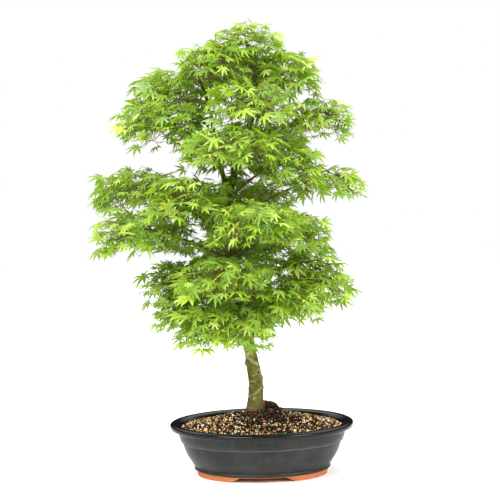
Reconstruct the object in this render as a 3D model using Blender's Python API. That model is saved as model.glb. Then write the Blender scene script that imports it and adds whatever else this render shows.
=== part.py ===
"""A potted bonsai: a small Japanese maple in an oval glazed pot.

The pot's long axis lies along X and its foot stands on Z = 0. The origin is under the middle of the
whole object, so the pot stands a little to the right of it, because the crown leans to the left.
Units are metres.
"""
import math

import bmesh
import bpy
from mathutils import Matrix, Vector
from mathutils.bvhtree import BVHTree

MM = 0.001
SHARP_ANGLE = math.radians(35)
MERGE_DISTANCE = 0.01 * MM

# Fit between touching pieces.
GAP = 0.3 * MM
SOIL_GAP = 0.5 * MM

# Pot.
POT_CENTRE = Vector((53.5 * MM, 0.0, 0.0))
RIM_HALF_LENGTH = 178 * MM
RIM_DEPTH_RATIO = 0.79
FOOT_HALF_LENGTH = 125 * MM
FOOT_DEPTH_RATIO = 0.64
FOOT_HEIGHT = 9 * MM
FLOOR_TOP = 18 * MM
POT_SEGMENTS = 48

# Half-length and height along the pot's section, from the middle of the floor over the rim to the foot.
POT_SECTION = (
    (0, 18), (114, 18), (132, 31), (142.5, 50), (149, 80), (156, 95), (161, 99.5), (165.5, 101.4),
    (173, 101.6), (178, 98.6), (177, 91.4), (164.5, 88.6), (161.6, 80), (157.2, 68), (154, 65),
    (149.6, 49), (141.4, 33), (132, 19.5), (131.5, 15.5), (127.5, 10), (125, 0), (112, 0), (111.5, 9), (0, 9),
)
INNER_WALL_POINTS = POT_SECTION[1:6]

NOTCH_BOTTOM_WIDTH = 120 * MM
NOTCH_TOP_WIDTH = 87 * MM
NOTCH_REACH = 200 * MM
NOTCH_DROP = 1 * MM
NOTCH_RISE = 0.4 * MM
DRAIN_HOLE_RADIUS = 11 * MM
DRAIN_HOLE_X = 55 * MM
DRAIN_HOLE_SIDES = 20
DRAIN_CUTTER_LENGTH = 30 * MM
GLAZE_COLOR = (0.055, 0.062, 0.058)

# Drain screens and the wire clips that hold them.
SCREEN_SIDE = 34 * MM
SCREEN_THICKNESS = 1.2 * MM
SCREEN_OPENING = 5.6 * MM
SCREEN_PITCH = 7.2 * MM
SCREEN_SIDES = ((-1, "left"), (1, "right"))
SCREEN_COLOR = (0.02, 0.02, 0.02)
WIRE_RADIUS = 0.8 * MM
CLIP_END_REACH = 16 * MM
WIRE_COLOR = (0.75, 0.76, 0.78)

# Soil.
SOIL_EDGE_HEIGHT = 94 * MM
SOIL_PEAK_HEIGHT = 121 * MM
SOIL_RINGS = 6
SOIL_MOUND_POWER = 0.75
SCREEN_POCKET_DROP = 2 * MM
SOIL_COLOR = (0.32, 0.22, 0.13)

# Tree. Its own frame is set a little to the left in the pot and leans to the right in it. A branch ends
# a little past its spray's middle, just under it; its bend and its end's drop are in mm.
TREE_LEAN = math.radians(1.26)
TREE_SHIFT = Vector((-1.5 * MM, 0.0, 1.5 * MM))
TREE_PLACE = Matrix.Translation(TREE_SHIFT) @ Matrix.Rotation(TREE_LEAN, 4, "Y")
TRUNK_SIDES = 3
BRANCH_SIDES = 1
BRANCH_POINTS = 8
BRANCH_END_SHARE = 0.3
BRANCH_END_DROP = 1.5
BRANCH_ARCH = 0.12
BRANCH_TIP_RADIUS = 1.5 * MM
BRANCH_BEND = 3.0
BRANCH_TAPER_POWER = 0.8
BARK_COLOR = (0.20, 0.19, 0.09)
YOUNG_BARK_COLOR = (0.22, 0.12, 0.07)
LEAF_COLOR = (0.20, 0.42, 0.04)

# Each stem's own knots: X, Y, Z and radius, in mm, from the bottom up.
LEADER = (
    (-15, 10, 52, 11), (-15, 10, 84, 19), (-14, 9, 108, 19), (-14, 9, 122, 17), (-12.6, 8, 140, 15.2),
    (-11.6, 7, 168, 14.6), (-17.4, 5, 206, 12.8), (-25, 4, 247, 11.2), (-38, 3, 315, 10.0), (-51, 4, 372, 9.4),
    (-64, 6, 432, 8.8), (-69, 8, 498, 8.2), (-61, 8, 552, 7.4), (-43, 4, 606, 5.8), (-29, 0, 645, 5.2),
    (-15, -2, 703, 4.6), (-8, 0, 748, 3.8), (-20, 2, 790, 3.0), (-33, 2, 843, 2.0),
)
LEFT_LIMB = (
    (-65, 8, 530, 5.6), (-76, 14, 578, 5.2), (-90, 18, 630, 4.6), (-98, 16, 690, 3.8), (-112, 10, 740, 3.0),
    (-124, 6, 768, 2.2),
)
# Buried roots leave one point of the trunk, in mm: azimuth in degrees, length, drop and radius in mm.
ROOT_START = (-15, 10, 84)
ROOT_STATIONS = (0.0, 0.3, 0.65, 1.0)
ROOT_SWING = 14
ROOT_WAVES = 2.6
ROOT_DROP_POWER = 1.5
ROOT_TAPER = 0.7
ROOTS = (
    (10, 92, 38, 8.5), (65, 70, 42, 7), (118, 74, 36, 7.5),
    (172, 96, 40, 8.5), (236, 72, 38, 7), (300, 76, 44, 7.5),
)
# The bare surface root on the right of the trunk's base.
SURFACE_ROOT = (
    (-12, 12, 124, 8), (0, 15, 130, 9), (10, 19, 126, 9.5), (20, 22, 124.5, 9),
    (28, 25, 120, 8), (38, 28, 112, 6.5), (48, 30, 100, 4.5),
)

# One leaf spray on each branch, in mm: name, stem, height of the fork on that stem, middle of the
# spray (X, Y, Z), half-length along the branch, half-width across it, and the branch's radius at its fork.
SPRAYS = (
    ("low_front", LEADER, 262, (-68, -104, 308), 78, 88, 4.2),
    ("low_front_right", LEADER, 290, (46, -94, 354), 62, 56, 4.0),
    ("low_left", LEADER, 274, (-136, -4, 330), 70, 66, 4.6),
    ("low_right", LEADER, 318, (104, 24, 371), 70, 60, 4.6),
    ("low_back", LEADER, 296, (-18, 116, 336), 80, 88, 4.4),
    ("lower_left", LEADER, 336, (-152, 30, 381), 80, 72, 4.4),
    ("lower_right", LEADER, 350, (86, -36, 414), 62, 56, 4.4),
    ("lower_front", LEADER, 366, (-68, -128, 394), 74, 84, 4.2),
    ("lower_back", LEADER, 384, (-50, 124, 436), 80, 90, 4.2),
    ("middle_left_low", LEADER, 408, (-224, -30, 476), 93, 76, 4.8),
    ("middle_left_high", LEADER, 446, (-240, 38, 563), 92, 76, 4.8),
    ("middle_left_front", LEADER, 428, (-136, -88, 542), 74, 70, 4.0),
    ("middle_right", LEADER, 410, (70, -42, 478), 56, 58, 3.8),
    ("middle_right_arm", LEADER, 474, (132, 18, 579), 64, 38, 3.6),
    ("middle_front", LEADER, 462, (-10, -134, 492), 76, 82, 3.8),
    ("middle_back", LEADER, 486, (-40, 125, 548), 82, 92, 4.0),
    ("upper_front_right", LEADER, 532, (50, -66, 604), 60, 58, 3.4),
    ("upper_left", LEFT_LIMB, 596, (-194, -18, 688), 82, 76, 3.8),
    ("upper_left_high", LEFT_LIMB, 650, (-178, 38, 756), 72, 66, 3.2),
    ("upper_right", LEADER, 590, (106, 4, 702), 64, 58, 3.8),
    ("upper_front", LEADER, 566, (-56, -102, 632), 84, 88, 3.8),
    ("upper_back", LEADER, 612, (-4, 118, 664), 82, 92, 3.6),
    ("crown_left", LEFT_LIMB, 708, (-92, -44, 798), 64, 62, 2.6),
    ("crown_right", LEADER, 688, (46, 8, 788), 62, 60, 3.2),
    ("crown_front", LEADER, 654, (-22, -76, 718), 70, 78, 3.0),
    ("crown_back", LEADER, 716, (-42, 80, 806), 70, 80, 2.8),
)
APEX_SPRAY = ((-28, 2, 845), 68, 58)
SPRAY_THICKNESS = 15 * MM
SPRAY_DROOP = 14 * MM
SPRAY_SEGMENTS = 16
SPRAY_RINGS = 6
SPRAY_LOBES = 5
SPRAY_LOBE_DEPTH = 0.08
SPRAY_LOBE_SHIFT = 9


def remove_everything():
    """Empty the scene, so that the script can be run again."""
    for item in list(bpy.data.objects):
        bpy.data.objects.remove(item, do_unlink=True)
    for item in list(bpy.data.collections):
        bpy.data.collections.remove(item)


def new_collection(name):
    collection = bpy.data.collections.new(name)
    bpy.context.scene.collection.children.link(collection)
    return collection


def new_material(name, color, roughness, metallic=0.0):
    material = bpy.data.materials.new(name)
    material.use_nodes = True
    shader = material.node_tree.nodes["Principled BSDF"]
    shader.inputs["Base Color"].default_value = (*color, 1.0)
    shader.inputs["Roughness"].default_value = roughness
    shader.inputs["Metallic"].default_value = metallic
    return material


def add_piece(name, mesh, material):
    """Put a finished mesh in the object's collection as one named piece."""
    piece = bpy.data.objects.new(name, mesh)
    PIECES.objects.link(piece)
    mesh.materials.clear()
    mesh.materials.append(material)
    mesh.shade_smooth()
    mesh.set_sharp_from_angle(angle=SHARP_ANGLE)
    return piece


def add_cutter(name, mesh):
    """Keep a mesh that only shapes other pieces."""
    cutter = bpy.data.objects.new(name, mesh)
    CUTTERS.objects.link(cutter)
    cutter.hide_render = True
    cutter.display_type = "WIRE"
    return cutter


def combine(piece, other, operation):
    """Join another object to a piece, or cut it away."""
    modifier = piece.modifiers.new(f"{operation} {other.name}", "BOOLEAN")
    modifier.operation = operation
    modifier.object = other
    modifier.solver = "EXACT"


def bake(piece):
    """Replace a piece's mesh with the result of its modifiers."""
    graph = bpy.context.evaluated_depsgraph_get()
    graph.update()
    mesh = bpy.data.meshes.new_from_object(piece.evaluated_get(graph))
    piece.modifiers.clear()
    piece.data = mesh
    return piece


def mesh_from(bm, name):
    bmesh.ops.recalc_face_normals(bm, faces=bm.faces)
    mesh = bpy.data.meshes.new(name)
    bm.to_mesh(mesh)
    bm.free()
    return mesh


def depth_ratio(radius):
    """The oval's depth over its length: rounder at the rim than at the foot."""
    share = (radius - FOOT_HALF_LENGTH) / (RIM_HALF_LENGTH - FOOT_HALF_LENGTH)
    share = min(max(share, 0.0), 1.0)
    return FOOT_DEPTH_RATIO + (RIM_DEPTH_RATIO - FOOT_DEPTH_RATIO) * share


def oval_turning(section, name):
    """Turn a section, in metres, round the pot's axis, then press the round form to an oval."""
    bm = bmesh.new()
    points = [bm.verts.new((radius, 0.0, height)) for radius, height in section]
    edges = [bm.edges.new(pair) for pair in zip(points, points[1:])]
    bmesh.ops.spin(
        bm, geom=points + edges, axis=(0, 0, 1), cent=(0, 0, 0),
        angle=math.tau, steps=POT_SEGMENTS, use_merge=True,
    )
    bmesh.ops.remove_doubles(bm, verts=bm.verts, dist=MERGE_DISTANCE)
    for vert in bm.verts:
        vert.co.y *= depth_ratio(vert.co.xy.length)
        vert.co += POT_CENTRE
    return mesh_from(bm, name)


def box_mesh(low, high, name):
    bm = bmesh.new()
    bmesh.ops.create_cube(bm, size=1.0)
    low = Vector(low)
    high = Vector(high)
    for vert in bm.verts:
        vert.co = Vector((low[i] + (high[i] - low[i]) * (vert.co[i] + 0.5) for i in range(3)))
    return mesh_from(bm, name)


def notch_cutter():
    """A bar with sloping ends that opens the foot ring at the front and the back."""
    low = (-0.5, -NOTCH_REACH, -NOTCH_DROP)
    high = (0.5, NOTCH_REACH, FOOT_HEIGHT + NOTCH_RISE)
    mesh = box_mesh(low, high, "foot_notch")
    for vert in mesh.vertices:
        width = NOTCH_BOTTOM_WIDTH if vert.co.z < 0 else NOTCH_TOP_WIDTH
        vert.co.x *= width
        vert.co += POT_CENTRE
    return add_cutter("foot_notch", mesh)


def drain_cutter(side, name):
    bm = bmesh.new()
    bmesh.ops.create_cone(
        bm, cap_ends=True, segments=DRAIN_HOLE_SIDES, depth=DRAIN_CUTTER_LENGTH,
        radius1=DRAIN_HOLE_RADIUS, radius2=DRAIN_HOLE_RADIUS,
    )
    bmesh.ops.translate(bm, verts=bm.verts, vec=POT_CENTRE + Vector((side * DRAIN_HOLE_X, 0, FLOOR_TOP)))
    return add_cutter(name, mesh_from(bm, name))


def make_pot():
    section = [(radius * MM, height * MM) for radius, height in POT_SECTION]
    glaze = new_material("dark_glaze", GLAZE_COLOR, 0.25)
    pot = add_piece("pot", oval_turning(section, "pot"), glaze)
    combine(pot, notch_cutter(), "DIFFERENCE")
    for side, side_name in SCREEN_SIDES:
        combine(pot, drain_cutter(side, f"drain_hole_{side_name}"), "DIFFERENCE")
    return pot


def make_screen(side, name, material):
    """A square plastic screen over a drain hole, with a grid of openings."""
    middle = POT_CENTRE + Vector((side * DRAIN_HOLE_X, 0, FLOOR_TOP + GAP))
    half = SCREEN_SIDE / 2
    low = middle - Vector((half, half, 0))
    high = middle + Vector((half, half, SCREEN_THICKNESS))
    screen = add_piece(name, box_mesh(low, high, name), material)
    for row in (-1, 0, 1):
        for column in (-1, 0, 1):
            corner = middle + Vector((column, row, 0)) * SCREEN_PITCH
            reach = Vector((SCREEN_OPENING / 2, SCREEN_OPENING / 2, 2 * SCREEN_THICKNESS))
            cutter = add_cutter(f"{name}_{row}_{column}", box_mesh(corner - reach, corner + reach, name))
            combine(screen, cutter, "DIFFERENCE")
    return bake(screen)


def make_clip(side, name, material):
    """A wire over the screen, down through the drain hole and bent outwards under the floor."""
    middle = POT_CENTRE + Vector((side * DRAIN_HOLE_X, 0, 0))
    over = FLOOR_TOP + GAP + SCREEN_THICKNESS + GAP + WIRE_RADIUS
    under = FOOT_HEIGHT - GAP - WIRE_RADIUS
    half_route = ((0.0, over), (SCREEN_PITCH, over), (SCREEN_PITCH, under), (CLIP_END_REACH, under))
    route = [(-x, z) for x, z in reversed(half_route[1:])] + list(half_route)
    points = [middle + Vector((x, 0, z)) for x, z in route]
    mesh = tube_mesh(points, [WIRE_RADIUS] * len(points), BRANCH_SIDES, name)
    return add_piece(name, mesh, material)


def smooth_path(knots, steps):
    """Points and radii on a smooth curve through a stem's knots, in metres on the pot's middle."""
    ends = [knots[0], *knots, knots[-1]]
    path = []
    for before, start, end, after in zip(ends, ends[1:], ends[2:], ends[3:]):
        for step in range(steps):
            t = step / steps
            weights = (-t + 2 * t**2 - t**3, 2 - 5 * t**2 + 3 * t**3, t + 4 * t**2 - 3 * t**3, t**3 - t**2)
            path.append([
                0.5 * sum(weight * value for weight, value in zip(weights, values))
                for values in zip(before, start, end, after)
            ])
    path.append(list(knots[-1]))
    points = [place_on_tree(point[:3]) for point in path]
    radii = [point[3] * MM for point in path]
    return points, radii


def place_on_tree(point):
    """A point of the tree's own frame, in mm, as a point of the object's frame, in metres."""
    return TREE_PLACE @ (Vector(point) * MM) + POT_CENTRE


def tube_mesh(points, radii, sides, name, extra=0.0):
    """A round closed tube along a list of points, larger by extra all round and at both ends."""
    points = [point.copy() for point in points]
    points[0] += (points[0] - points[1]).normalized() * extra
    points[-1] += (points[-1] - points[-2]).normalized() * extra
    curve = bpy.data.curves.new(name, "CURVE")
    curve.dimensions = "3D"
    curve.bevel_depth = 1.0
    curve.bevel_resolution = sides
    curve.render_resolution_u = 0
    curve.use_fill_caps = True
    spline = curve.splines.new("POLY")
    spline.points.add(len(points) - 1)
    for spot, place, radius in zip(spline.points, points, radii):
        spot.co = (*place, 1.0)
        spot.radius = radius + extra
    holder = bpy.data.objects.new(name, curve)
    CUTTERS.objects.link(holder)
    graph = bpy.context.evaluated_depsgraph_get()
    graph.update()
    mesh = bpy.data.meshes.new_from_object(holder.evaluated_get(graph))
    bpy.data.objects.remove(holder, do_unlink=True)
    bm = bmesh.new()
    bm.from_mesh(mesh)
    bmesh.ops.remove_doubles(bm, verts=bm.verts, dist=MERGE_DISTANCE)
    return mesh_from(bm, name)


def root_knots(azimuth, length, drop, radius):
    """A root that leaves the flare, bends down and thins out."""
    knots = []
    x, y, z = ROOT_START
    for share in ROOT_STATIONS:
        angle = math.radians(azimuth + ROOT_SWING * math.sin(ROOT_WAVES * share))
        reach = length * share
        knots.append((
            x + reach * math.cos(angle), y + reach * math.sin(angle),
            z - drop * share**ROOT_DROP_POWER, radius * (1 - ROOT_TAPER * share),
        ))
    return knots


def make_wood(extra, name):
    """The trunk, its left limb and its roots as one mesh, thicker by extra all round."""
    parts = [(LEADER, 2, TRUNK_SIDES), (LEFT_LIMB, 2, TRUNK_SIDES), (SURFACE_ROOT, 1, TRUNK_SIDES)]
    parts += [(root_knots(*root), 1, BRANCH_SIDES) for root in ROOTS]
    whole = None
    for number, (knots, steps, sides) in enumerate(parts):
        points, radii = smooth_path(knots, steps)
        mesh = tube_mesh(points, radii, sides, f"{name}_{number}", extra)
        stem = add_cutter(f"{name}_{number}", mesh)
        if whole is None:
            whole = stem
        else:
            combine(whole, stem, "UNION")
    return bake(whole)


def point_at_height(knots, height):
    """The point of a stem's axis at a height, in mm."""
    for start, end in zip(knots, knots[1:]):
        if start[2] <= height <= end[2]:
            share = (height - start[2]) / (end[2] - start[2])
            return Vector([a + (b - a) * share for a, b in zip(start[:3], end[:3])])
    raise ValueError("no such height on this stem")


def branch_route(stem, height, middle, half_length):
    """A branch rises from its fork, levels out and ends inside its spray."""
    start = point_at_height(stem, height)
    middle = Vector(middle)
    outward = Vector((middle.x - start.x, middle.y - start.y, 0)).normalized()
    end = middle + outward * half_length * BRANCH_END_SHARE
    end.z -= BRANCH_END_DROP
    bend = start.lerp(end, 0.5)
    bend.z = max(start.z, end.z) - BRANCH_ARCH * (end.z - start.z)
    across = outward.cross(Vector((0, 0, 1)))
    route = []
    for number in range(BRANCH_POINTS):
        t = number / (BRANCH_POINTS - 1)
        point = start * (1 - t) ** 2 + bend * 2 * t * (1 - t) + end * t**2
        sway = BRANCH_BEND * math.sin(math.tau * t + height) * math.sin(math.pi * t)
        route.append(place_on_tree(point + across * sway))
    return route


def branch_radii(radius):
    tip = BRANCH_TIP_RADIUS
    shares = [number / (BRANCH_POINTS - 1) for number in range(BRANCH_POINTS)]
    return [tip + (radius * MM - tip) * (1 - share) ** BRANCH_TAPER_POWER for share in shares]


def spray_mesh(name, middle, half_length, half_width, heading):
    """A leaf spray as a plain solid: a lobed cushion that arches down to its edge."""
    bm = bmesh.new()
    bmesh.ops.create_uvsphere(bm, u_segments=SPRAY_SEGMENTS, v_segments=SPRAY_RINGS, radius=1.0)
    turn = Matrix.Rotation(heading, 4, "Z")
    for vert in bm.verts:
        angle = math.atan2(vert.co.y, vert.co.x)
        spread = vert.co.xy.length
        wave = math.cos(SPRAY_LOBES * angle + SPRAY_LOBE_SHIFT * middle[2])
        lobes = 1 + SPRAY_LOBE_DEPTH * spread * wave
        flat = Vector((vert.co.x * half_length * lobes * MM, vert.co.y * half_width * lobes * MM, 0))
        flat.z = vert.co.z * SPRAY_THICKNESS / 2 - SPRAY_DROOP * spread**2
        vert.co = turn @ flat + Vector(middle) * MM
        vert.co = TREE_PLACE @ vert.co + POT_CENTRE
    return mesh_from(bm, name)


def touches(one, other):
    """Whether two meshes' surfaces cross."""
    trees = []
    for item in (one, other):
        bm = bmesh.new()
        bm.from_mesh(item.data)
        trees.append(BVHTree.FromBMesh(bm))
        bm.free()
    return bool(trees[0].overlap(trees[1]))


def make_soil(wood_cutter):
    """The filling: it follows the inner wall, and its top rises to the trunk."""
    wall = [(radius * MM - SOIL_GAP, height * MM) for radius, height in INNER_WALL_POINTS]
    wall[0] = (wall[0][0], FLOOR_TOP + GAP)
    edge_radius = wall[-1][0] - SOIL_GAP
    wall[-1] = (edge_radius, SOIL_EDGE_HEIGHT)
    section = [(0.0, FLOOR_TOP + GAP), *wall]
    for ring in range(1, SOIL_RINGS):
        share = ring / SOIL_RINGS
        mound = 0.5 - 0.5 * math.cos(math.pi * share**SOIL_MOUND_POWER)
        height = SOIL_EDGE_HEIGHT + (SOIL_PEAK_HEIGHT - SOIL_EDGE_HEIGHT) * mound
        section.append((edge_radius * (1 - share), height))
    section.append((0.0, SOIL_PEAK_HEIGHT))
    earth = new_material("soil", SOIL_COLOR, 0.95)
    soil = add_piece("soil", oval_turning(section, "soil"), earth)
    combine(soil, wood_cutter, "DIFFERENCE")
    half = SCREEN_SIDE / 2 + GAP
    rise = SCREEN_THICKNESS + 2 * WIRE_RADIUS + 4 * GAP
    for side, side_name in SCREEN_SIDES:
        middle = POT_CENTRE + Vector((side * DRAIN_HOLE_X, 0, FLOOR_TOP))
        low = middle - Vector((half, half, SCREEN_POCKET_DROP))
        high = middle + Vector((half, half, rise))
        pocket = add_cutter(f"screen_pocket_{side_name}", box_mesh(low, high, "screen_pocket"))
        combine(soil, pocket, "DIFFERENCE")
    return bake(soil)


def make_tree():
    """The trunk, one branch and one leaf spray for each row of SPRAYS, and the spray at the apex."""
    bark = new_material("bark", BARK_COLOR, 0.8)
    young_bark = new_material("young_bark", YOUNG_BARK_COLOR, 0.7)
    leaf_green = new_material("leaf_green", LEAF_COLOR, 0.5)

    add_piece("trunk", make_wood(0.0, "trunk_form").data.copy(), bark)
    wood_cutter = make_wood(GAP, "trunk_space")

    branch_cutters = []
    for name, stem, height, middle, half_length, _, radius in SPRAYS:
        route = branch_route(stem, height, middle, half_length)
        mesh = tube_mesh(route, branch_radii(radius), BRANCH_SIDES, f"branch_{name}")
        branch = add_piece(f"branch_{name}", mesh, young_bark)
        combine(branch, wood_cutter, "DIFFERENCE")
        bake(branch)
        space = tube_mesh(route, branch_radii(radius), BRANCH_SIDES, f"space_{name}", GAP)
        branch_cutters.append(add_cutter(f"space_{name}", space))

    sprays = []
    for name, stem, height, middle, half_length, half_width, _ in SPRAYS:
        start = point_at_height(stem, height)
        heading = math.atan2(middle[1] - start.y, middle[0] - start.x)
        mesh = spray_mesh(f"leaves_{name}", middle, half_length, half_width, heading)
        sprays.append(add_piece(f"leaves_{name}", mesh, leaf_green))
    middle, half_length, half_width = APEX_SPRAY
    mesh = spray_mesh("leaves_apex", middle, half_length, half_width, 0.0)
    sprays.append(add_piece("leaves_apex", mesh, leaf_green))

    for spray in sprays:
        for cutter in (wood_cutter, *branch_cutters):
            if touches(spray, cutter):
                combine(spray, cutter, "DIFFERENCE")
        bake(spray)
    return wood_cutter


remove_everything()
PIECES = new_collection("bonsai")
CUTTERS = new_collection("cutters")

make_pot()
SCREEN_PLASTIC = new_material("screen_plastic", SCREEN_COLOR, 0.5)
CLIP_WIRE = new_material("clip_wire", WIRE_COLOR, 0.35, 1.0)
for SIDE, SIDE_NAME in SCREEN_SIDES:
    make_screen(SIDE, f"drain_screen_{SIDE_NAME}", SCREEN_PLASTIC)
    make_clip(SIDE, f"screen_clip_{SIDE_NAME}", CLIP_WIRE)
make_soil(make_tree())
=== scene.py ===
"""A Japanese maple bonsai in an oval glazed pot, built round its CAD frame. Units are metres."""
import math

import bmesh
import bpy
import numpy as np
from mathutils import Matrix, Quaternion, Vector, noise
from mathutils.bvhtree import BVHTree
from numpy.linalg import norm
from numpy.polynomial.polynomial import polyfit, polyval


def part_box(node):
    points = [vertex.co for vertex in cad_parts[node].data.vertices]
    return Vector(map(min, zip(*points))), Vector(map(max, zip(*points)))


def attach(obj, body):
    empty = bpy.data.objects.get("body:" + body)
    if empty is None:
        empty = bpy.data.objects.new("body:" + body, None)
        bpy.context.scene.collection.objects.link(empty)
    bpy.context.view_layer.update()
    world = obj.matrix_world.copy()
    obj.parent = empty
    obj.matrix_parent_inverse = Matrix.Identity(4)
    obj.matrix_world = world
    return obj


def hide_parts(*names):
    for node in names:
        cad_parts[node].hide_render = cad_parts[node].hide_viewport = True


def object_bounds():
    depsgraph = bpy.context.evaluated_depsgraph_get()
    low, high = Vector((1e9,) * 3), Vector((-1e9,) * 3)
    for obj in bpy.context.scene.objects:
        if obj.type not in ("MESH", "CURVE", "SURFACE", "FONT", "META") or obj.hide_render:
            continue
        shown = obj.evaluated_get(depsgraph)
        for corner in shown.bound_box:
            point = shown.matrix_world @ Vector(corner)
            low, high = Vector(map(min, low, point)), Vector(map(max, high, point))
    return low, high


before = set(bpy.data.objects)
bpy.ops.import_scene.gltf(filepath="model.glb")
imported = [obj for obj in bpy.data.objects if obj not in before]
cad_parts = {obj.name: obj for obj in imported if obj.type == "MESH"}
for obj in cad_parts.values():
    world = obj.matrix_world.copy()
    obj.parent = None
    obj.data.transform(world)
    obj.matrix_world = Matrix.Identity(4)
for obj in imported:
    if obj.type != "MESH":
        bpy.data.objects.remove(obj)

MM = 0.001
SCENE = bpy.context.scene
CAD_LOW, CAD_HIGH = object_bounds()
POT_LOW, POT_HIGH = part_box("pot")
POT_CENTRE = Vector(((POT_LOW.x + POT_HIGH.x) / 2, (POT_LOW.y + POT_HIGH.y) / 2, 0.0))
FRONT = Vector((0.0, -1.0, 0.0))
RIGHT = Vector((-FRONT.y, FRONT.x, 0.0))

# Camera: distance and height from the pot's middle, step to the side, tilt down and roll.
CAMERA_DISTANCE = 1.8
CAMERA_HEIGHT = 0.4609
CAMERA_SIDE_STEP = -0.0152
CAMERA_TILT = math.radians(0.87)
CAMERA_ROLL = math.radians(-1.26)
CAMERA_LENS = 66.8

# Brightness of the studio's tent low behind the tree, low in front of it, and overhead.
WORLD_BEHIND = 0.03
WORLD_FRONT = 0.22
WORLD_TOP = 2.3
WHITE = (1.0, 1.0, 1.0, 1.0)

# Pot, in mm: half-length and height along the section, from the middle of the floor to the foot.
POT_INSIDE = ((0, 18), (60, 18), (114, 18), (125, 24), (132, 31), (142.5, 50), (149, 80), (155.6, 94.2))
POT_LIP = (
    (158, 97.2), (161, 99.5), (165.6, 101.2), (170.2, 101.6), (174.2, 101.2), (176.8, 99.9), (178, 97.9),
    (178, 94.6), (177.2, 91.8), (173.6, 89.9), (168.4, 88.9), (164.7, 88.2),
)
POT_BODY = (
    (163.2, 86.2), (162.4, 83.2), (161.4, 78), (160.2, 73), (158.6, 69.6), (158.0, 68.6), (158.3, 67.6),
    (157.9, 66.6), (155.0, 65.4), (153.8, 62), (152.4, 57), (149.6, 49), (145, 39), (139, 29.5),
    (133.4, 21.5), (131.4, 18.9), (130.8, 17.4), (131.3, 15.9), (132.3, 14.2), (131.4, 12.2), (129, 10.6),
)
POT_FOOT = ((127.4, 9), (126.6, 5), (125.5, 1.2), (124.4, 0), (113, 0), (111.8, 1), (111.5, 8.6))
POT_UNDERSIDE = ((108, 9), (60, 9), (0, 9))
# The pot's width over its length, at the foot and at the rim, and the half-lengths these hold for.
FOOT_RATIO = 0.64
RIM_RATIO = 0.79
RATIO_FROM = 125 * MM
RATIO_TO = 178 * MM
POT_TURNS = 176
POT_SHARP_ANGLE = math.radians(42)
# Half of the foot notch's outline, in mm: half-width and height.
NOTCH_HALF = ((60, -1), (58.5, 1.2), (47.5, 7.2), (42.5, 9.4))
NOTCH_REACH = 0.2
DRAIN_HOLE_X = 55 * MM
DRAIN_HOLE_RADIUS = 11 * MM
DRAIN_BAR_LENGTH = 30 * MM

# Soil.
BED_VOXEL = 3.0 * MM
GRIT_SPACING = 3.35 * MM
GRIT_DENSITY = 200000.0
GRIT_SIZES = (2.7 * MM, 7.4 * MM)
GRIT_TOP_FROM = 86 * MM
STONE_FORMS = 5
SMALL_STONES = 1.7
HUMUS_OFFSET = (14 * MM, 22 * MM)
HUMUS_HEIGHT = 108 * MM
MOUND_RISE = 3.0
MOUND_REACH = 42 * MM
# Waves over the soil's top and along the bark: waves per metre, seed and height in mm.
SOIL_WAVES = ((90.0, 3, 1.4), (260.0, 4, 0.8))
BARK_WAVES = ((45.0, 1, 0.7), (130.0, 2, 0.45))
ROOT_WAVES = ((150.0, 8, 4.0), (420.0, 9, 3.0))

# Trunk.
TRUNK_VOXEL = 1.3 * MM
BARE_TRUNK = (132, 330)
BARK_RADIUS = 12.0
# Marks on the lower trunk: height in mm, degrees to the right of the front, and size in mm.
KNOTS = ((213, -78, 5.0, 3.2), (184, 74, 4.5, 3.0), (165.5, 86, 3.5, 1.8), (261, 20, 5.0, 2.0))
EYE_SCAR = (196, 40, 5.0, 3.0)
PALE_PATCHES = ((235.5, -15, 8.0), (229.5, -48, 7.0), (170.5, -62, 4.0), (146, -20, 4.0))
# Pale bands: height at the front, rise in mm over the turn to the right, width, from and to degrees.
PALE_BANDS = (
    (219, -12, 7.0, -80, 85), (157, 11, 4.5, -75, 70), (178.5, 3, 3.5, -60, -5), (204.5, -5, 2.4, 45, 88),
    (190, 1, 1.4, -75, 80),
)

# Leaves. A form is one unit long, and lobes are given by their degrees from the middle one and length.
LEAF_LOBES = ((0, 1.0), (38, 0.93), (76, 0.74), (116, 0.42))
LOBE_HALF_WIDTH = 0.113
LOBE_MIDDLE = 0.50
LOBE_OUTER = 0.79
NOTCH_DEPTH = 0.28
LEAF_FORMS = 5
LEAF_LENGTH = 21.5 * MM
LEAF_THROUGH = 0.40
LEAF_SPACING = 12.6 * MM
LEAF_TRIES = 1000
LEAF_MARGIN = 5 * MM
WIDE_SPRAY = 66 * MM
# How far leaves stray from a pad's top, sink below it, and hang at its edge, in mm.
PAD_STRAY = 19
PAD_SINK = 5
EDGE_HANG = 4
SHOOT_STEP = 5.0 * MM
SHOOT_REACH = (8 * MM, 34 * MM)

# Twigs and stalks, as radii.
TWIG_RADIUS = 0.50 * MM
TWIG_LOAD_POWER = 0.40
TWIG_WAY_SHARE = 0.35
TWIG_BEND = 0.045
STALK_RADII = (0.42 * MM, 0.34 * MM, 0.34 * MM)
BRANCH_STATIONS = 11
BRANCH_THINNED = 0.82
BRANCH_INTO_TRUNK = 9 * MM

# Colours of the pot.
SLATE_DARK = (0.009, 0.0095, 0.0088)
SLATE_PALE = (0.025, 0.0262, 0.0235)
SLATE_STREAK = (0.038, 0.040, 0.036)
SLATE_SPECK = (0.010, 0.011, 0.011)
LEDGE_LINE = (0.13, 0.14, 0.125)
# Painted shade along the glaze's lower edge.
FOOT_SHADE = (0.012, 0.011, 0.010)
LIP_BLACK = (0.0018, 0.0018, 0.002)
CLAY_DARK = (0.47, 0.150, 0.055)
CLAY_PALE = (0.60, 0.215, 0.085)
CLAY_SPECK = (0.30, 0.09, 0.04)

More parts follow.
